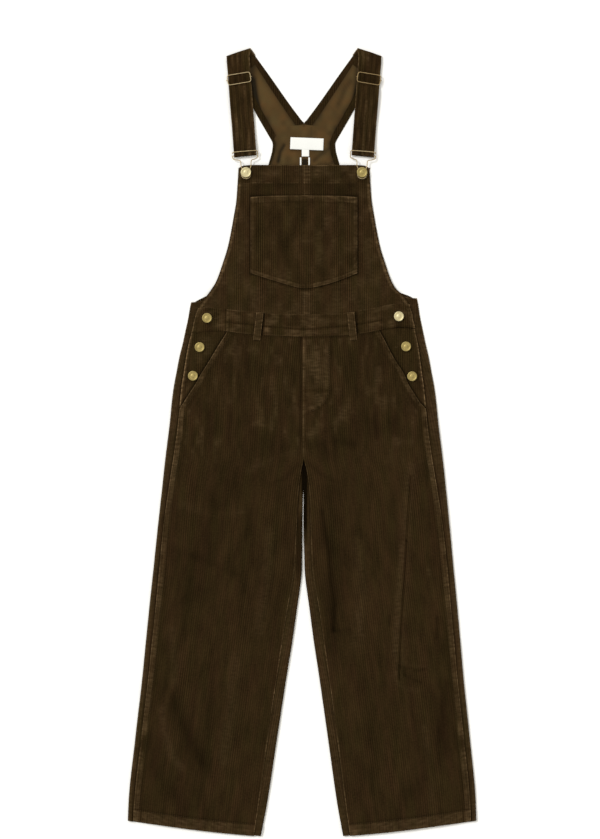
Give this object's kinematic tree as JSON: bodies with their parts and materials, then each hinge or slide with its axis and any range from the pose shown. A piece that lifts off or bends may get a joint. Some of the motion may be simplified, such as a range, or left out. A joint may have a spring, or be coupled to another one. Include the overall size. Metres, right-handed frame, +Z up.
{
  "type": "bib overalls",
  "caption": "Wide-legged corduroy bib overalls laid out flat, with a patch pocket on the bib, strap sliders, wire clips, shank buttons and slanted hip pockets.",
  "frame": {"origin": "on the surface that the garment lies on, under the middle of its outline", "axes": "+Z up from the surface, +Y from the hems to the straps, +X to the right as one looks down on the garment's front"},
  "size_m": [0.6099, 1.3787, 0.0119],
  "materials": {
    "corduroy": "brushed wale corduroy",
    "lining": "woven lining",
    "tape": "woven tape",
    "brass": "polished"
  },
  "bodies": {
    "root": {"back_yoke_l": "corduroy", "back_yoke_r": "corduroy", "belt_loop_l": "corduroy", "belt_loop_r": "corduroy", "bib_button_l": "brass", "bib_button_r": "brass", "bib_front_l": "corduroy", "bib_front_r": "corduroy", "bib_pocket": "corduroy", "bib_top_band": "corduroy", "clip_l": "brass", "clip_r": "brass", "hanger_loop": "tape", "hip_button_l_1": "brass", "hip_button_l_2": "brass", "hip_button_l_3": "brass", "hip_button_r_1": "brass", "hip_button_r_2": "brass", "hip_button_r_3": "brass", "hip_facing_l": "corduroy", "hip_facing_r": "corduroy", "label": "tape", "leg_back_l": "corduroy", "leg_back_r": "corduroy", "leg_front_l": "corduroy", "leg_front_r": "corduroy", "size_tab": "tape", "slider_bar_l": "brass", "slider_bar_r": "brass", "slider_l": "brass", "slider_r": "brass", "strap_front_l": "corduroy", "strap_front_r": "corduroy", "waistband_back": "corduroy", "waistband_front": "corduroy", "yoke_lining_l": "lining", "yoke_lining_r": "lining"}
  },
  "joints": []
}
